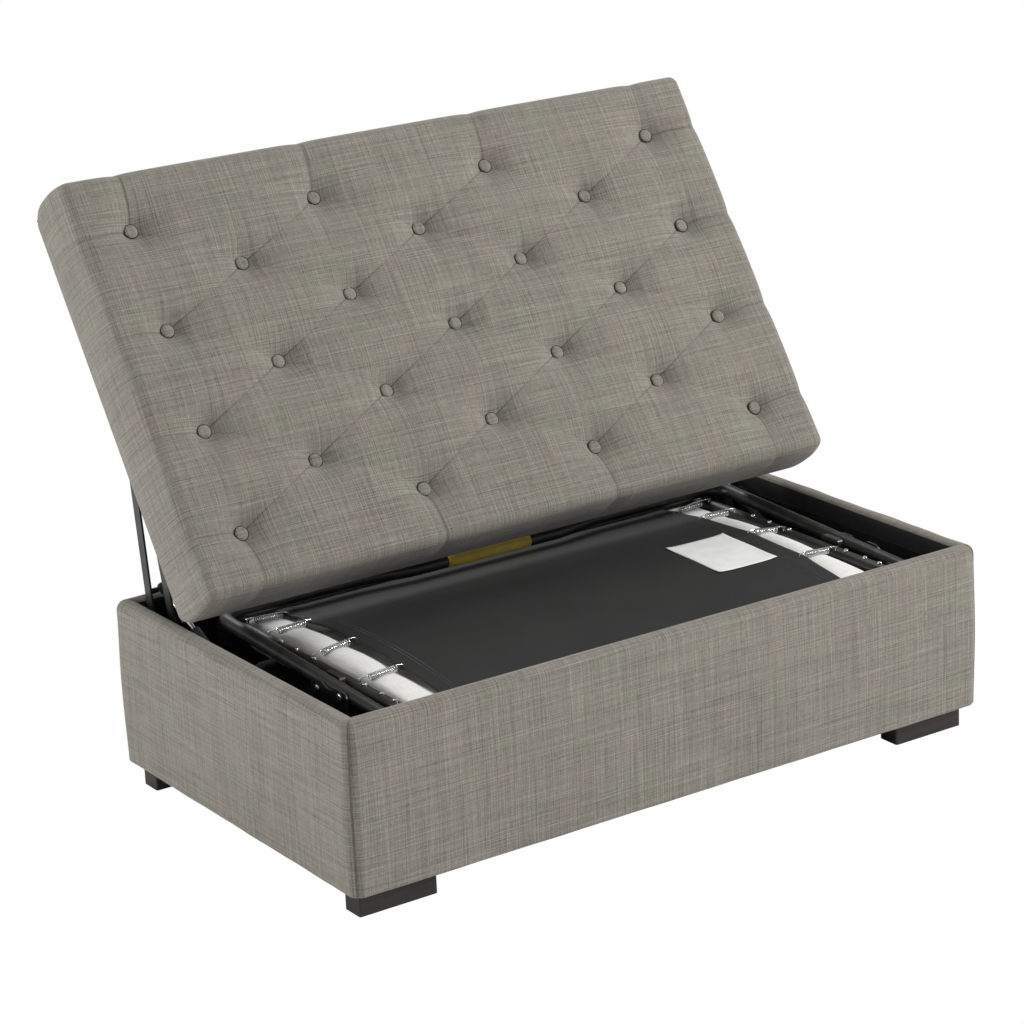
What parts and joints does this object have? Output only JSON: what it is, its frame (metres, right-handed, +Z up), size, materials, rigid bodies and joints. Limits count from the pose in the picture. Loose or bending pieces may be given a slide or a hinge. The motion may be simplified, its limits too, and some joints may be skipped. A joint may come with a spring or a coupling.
{
  "type": "fold out ottoman guest bed",
  "caption": "Upholstered ottoman with a tufted lid on lifting arms over a folded steel-framed guest bed in its box.",
  "frame": {"origin": "on the floor under the middle of the box", "axes": "+X along the ottoman's length to its right, +Y to its back, +Z up"},
  "size_m": [1.067, 0.7874, 0.8611],
  "materials": {
    "linen": "slubby linen weave",
    "board": "plain board",
    "black_lining": "non-woven cloth",
    "deck_cloth": "tight black weave",
    "foot_finish": "dark stained",
    "ticking": "white quilted cloth",
    "chrome": "bright",
    "black_plastic": "moulded",
    "label": "satin",
    "black_steel": "satin black"
  },
  "bodies": {
    "box": {"bed_brackets": "black_steel", "floor_panel": "board", "foot_back_left": "foot_finish", "foot_back_right": "foot_finish", "foot_front_left": "foot_finish", "foot_front_right": "foot_finish", "side_plate_left": "black_steel", "side_plate_right": "black_steel", "wall_board_back": "board", "wall_board_front": "board", "wall_board_left": "board", "wall_board_right": "board", "wall_cover_back": "linen", "wall_cover_front": "linen", "wall_cover_left": "linen", "wall_cover_right": "linen"},
    "rear_arm_left": {"rear_arm_left": "black_steel"},
    "rear_arm_right": {"rear_arm_right": "black_steel"},
    "front_arm_left": {"front_arm_left": "black_steel"},
    "front_arm_right": {"front_arm_right": "black_steel"},
    "lid": {"lid_board": "board", "lid_cushion": "linen", "lid_buttons": "linen", "lid_dust_cover": "black_lining", "lid_bracket_left": "black_steel", "lid_bracket_right": "black_steel"},
    "gas_tube_left": {"gas_tube_left": "black_steel"},
    "gas_rod_left": {"gas_rod_left": "chrome"},
    "gas_socket_left": {"gas_socket_left": "black_plastic"},
    "leg_latch_left": {"leg_latch_left": "black_steel"},
    "gas_tube_right": {"gas_tube_right": "black_steel"},
    "gas_rod_right": {"gas_rod_right": "chrome"},
    "gas_socket_right": {"gas_socket_right": "black_plastic"},
    "leg_latch_right": {"leg_latch_right": "black_steel"},
    "bed": {"back_hinges": "black_steel", "deck_label": "label", "foot_end_bar_back": "black_steel", "foot_end_bar_front": "black_steel", "foot_end_deck": "deck_cloth", "foot_end_mattress": "ticking", "foot_end_rail_left": "black_steel", "foot_end_rail_right": "black_steel", "front_hinges": "black_steel", "head_bar_back": "black_steel", "head_bar_front": "black_steel", "head_deck": "deck_cloth", "head_mattress": "ticking", "head_rail_left": "black_steel", "head_rail_right": "black_steel", "leg_brackets": "black_steel", "leg_tube": "black_steel", "middle_bar_back": "black_steel", "middle_bar_front": "black_steel", "middle_deck": "deck_cloth", "middle_mattress": "ticking", "middle_rail_left": "black_steel", "middle_rail_right": "black_steel", "middle_springs_left": "chrome", "middle_springs_right": "chrome", "rail_rivets": "chrome"}
  },
  "joints": [
    {"name": "lid_lift", "type": "hinge", "parent": "box", "child": "rear_arm_left", "pos_m": [-0.498, 0.262, 0.235], "axis": [-1, 0, 0], "range_deg": [-90.63, 0]},
    {"name": "rear_arm_right_turn", "type": "hinge", "parent": "box", "child": "rear_arm_right", "pos_m": [0.498, 0.262, 0.235], "axis": [-1, 0, 0], "range_deg": [-90.63, 0.01]},
    {"name": "lid_turn", "type": "hinge", "parent": "rear_arm_left", "child": "lid", "pos_m": [0, 0.29611, 0.51972], "axis": [1, 0, 0], "range_deg": [-146.53, 0.01]},
    {"name": "front_arm_left_turn", "type": "hinge", "parent": "box", "child": "front_arm_left", "pos_m": [-0.49, 0.205, 0.205], "axis": [-1, 0, 0], "range_deg": [-90.69, 0.01]},
    {"name": "gas_tube_left_turn", "type": "hinge", "parent": "box", "child": "gas_tube_left", "pos_m": [-0.475, 0.075, 0.205], "axis": [1, 0, 0], "range_deg": [-8.8, 0.01]},
    {"name": "gas_rod_left_slide", "type": "slide", "parent": "gas_tube_left", "child": "gas_rod_left", "axis": [0, 0.908, 0.419], "range_m": [-0.0814, 0.0001]},
    {"name": "gas_socket_left_spin", "type": "hinge", "parent": "gas_rod_left", "child": "gas_socket_left", "pos_m": [-0.475, 0.26914, 0.29457], "axis": [0, 0.908, 0.419], "continuous": true},
    {"name": "front_arm_right_turn", "type": "hinge", "parent": "box", "child": "front_arm_right", "pos_m": [0.49, 0.205, 0.205], "axis": [-1, 0, 0], "range_deg": [-90.69, 0.01]},
    {"name": "gas_tube_right_turn", "type": "hinge", "parent": "box", "child": "gas_tube_right", "pos_m": [0.475, 0.075, 0.205], "axis": [1, 0, 0], "range_deg": [-8.8, 0.01]},
    {"name": "gas_rod_right_slide", "type": "slide", "parent": "gas_tube_right", "child": "gas_rod_right", "axis": [0, 0.908, 0.419], "range_m": [-0.0814, 0.0001]},
    {"name": "gas_socket_right_spin", "type": "hinge", "parent": "gas_rod_right", "child": "gas_socket_right", "pos_m": [0.475, 0.26914, 0.29457], "axis": [0, 0.908, 0.419], "continuous": true},
    {"name": "bed_raise", "type": "hinge", "parent": "box", "child": "bed", "pos_m": [0, 0.125, 0.13], "axis": [-1, 0, 0], "range_deg": [0, 11]},
    {"name": "leg_latch_left_turn", "type": "hinge", "parent": "bed", "child": "leg_latch_left", "pos_m": [-0.454, -0.175, 0.256], "axis": [-1, 0, 0], "range_deg": [0, 15]},
    {"name": "leg_latch_right_turn", "type": "hinge", "parent": "bed", "child": "leg_latch_right", "pos_m": [0.454, -0.175, 0.256], "axis": [-1, 0, 0], "range_deg": [0, 15]}
  ],
  "couplings": [
    {"joint": "rear_arm_right_turn", "follows": "lid_lift", "ratio": 1},
    {"joint": "lid_turn", "follows": "lid_lift", "ratio": 1.6168},
    {"joint": "front_arm_left_turn", "follows": "lid_lift", "ratio": 1.0007},
    {"joint": "gas_tube_left_turn", "follows": "lid_lift", "ratio": 0.096897},
    {"joint": "gas_rod_left_slide", "follows": "lid_lift", "m_per_rad": 0.051419},
    {"joint": "front_arm_right_turn", "follows": "lid_lift", "ratio": 1.0007},
    {"joint": "gas_tube_right_turn", "follows": "lid_lift", "ratio": 0.096897},
    {"joint": "gas_rod_right_slide", "follows": "lid_lift", "m_per_rad": 0.051419}
  ]
}
